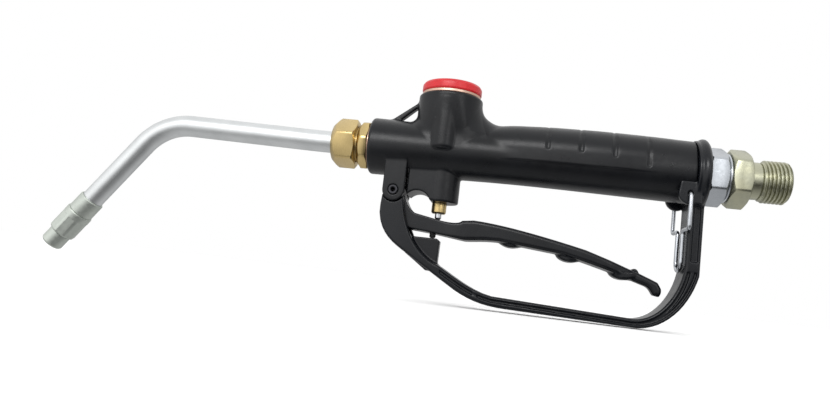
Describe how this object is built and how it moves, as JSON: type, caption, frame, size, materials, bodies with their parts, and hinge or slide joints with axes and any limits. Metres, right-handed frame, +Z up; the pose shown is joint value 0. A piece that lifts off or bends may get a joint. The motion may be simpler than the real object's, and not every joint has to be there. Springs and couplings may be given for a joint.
{
  "type": "fuel nozzle",
  "caption": "Hand-held oil and fuel dispensing nozzle: black grip body with lever valve and hand guard, bent metal spout with drip-stop tip, and swivel pipe-thread inlet.",
  "frame": {"origin": "on the body axis, at mid-length of the inlet thread", "axes": "+X along the body axis and out of the inlet, +Z up towards the red valve cap, +Y across the gun; the spout leaves towards -X and bends down"},
  "size_m": [0.3838, 0.0366, 0.1137],
  "materials": {
    "black_cast": "satin powder coat",
    "guard_cast": "semi-gloss powder coat",
    "lever_cast": "satin powder coat",
    "cap_red": "glossy moulded",
    "brass": "machined",
    "copper": "plain",
    "zinc_blue": "blue-white zinc plated, machined",
    "zinc_yellow": "pale yellow zinc plated, machined",
    "tip_zinc": "dull zinc plated",
    "alu_tube": "satin anodised",
    "steel": "drawn wire",
    "wire_zinc": "bright zinc plated wire",
    "pin_steel": "phosphated",
    "rubber_black": "matte"
  },
  "bodies": {
    "gun": {"body_casting": "black_cast", "guard_casting": "guard_cast", "pivot_pin": "pin_steel", "valve_seat": "brass", "top_plug": "copper", "plug_oring": "rubber_black", "plug_cap": "cap_red", "rod_gland": "brass", "gland_oring": "rubber_black", "outlet_adapter": "brass", "adapter_seal": "copper", "outlet_nut": "brass", "tube_ferrule": "brass", "spout_tube": "alu_tube", "tip_collar": "tip_zinc", "tip_body": "tip_zinc", "tip_sleeve": "tip_zinc", "inlet_fitting": "zinc_blue", "fitting_seal": "rubber_black"},
    "inlet_swivel": {"swivel_stub": "zinc_yellow", "swivel_washer": "steel", "swivel_oring_front": "rubber_black", "swivel_oring_rear": "rubber_black", "swivel_clip": "pin_steel", "filter_ring": "brass", "filter_cone": "steel"},
    "lever": {"trigger_lever": "lever_cast", "lever_bumper": "rubber_black"},
    "valve_stem": {"push_rod": "steel", "valve_poppet": "brass", "valve_disc": "rubber_black", "valve_spring": "steel"},
    "latch": {"wire_latch": "wire_zinc"},
    "tip_valve": {"tip_poppet": "brass", "tip_poppet_seal": "rubber_black", "tip_spring": "steel"}
  },
  "joints": [
    {"name": "lever_pivot", "type": "hinge", "parent": "gun", "child": "lever", "pos_m": [-0.1844, 0, -0.0235], "axis": [0, -1, 0], "range_deg": [0, 6.5]},
    {"name": "valve_lift", "type": "slide", "parent": "gun", "child": "valve_stem", "axis": [0, 0, 1], "range_m": [0, 0.0028], "stiffness_N_per_m": 2000, "springref_m": -0.005, "deforming": ["valve_spring"]},
    {"name": "latch_swing", "type": "hinge", "parent": "gun", "child": "latch", "pos_m": [-0.0412, 0, -0.0114], "axis": [0, 1, 0], "range_deg": [0, 18]},
    {"name": "inlet_turn", "type": "hinge", "parent": "gun", "child": "inlet_swivel", "pos_m": [0, 0, 0], "axis": [1, 0, 0], "continuous": true},
    {"name": "drip_stop", "type": "slide", "parent": "gun", "child": "tip_valve", "axis": [-0.6046, 0, -0.7965], "range_m": [0, 0.002], "stiffness_N_per_m": 200, "springref_m": -0.003, "deforming": ["tip_spring"]}
  ],
  "couplings": [
    {"joint": "valve_lift", "follows": "lever_pivot", "m_per_rad": 0.0246}
  ]
}
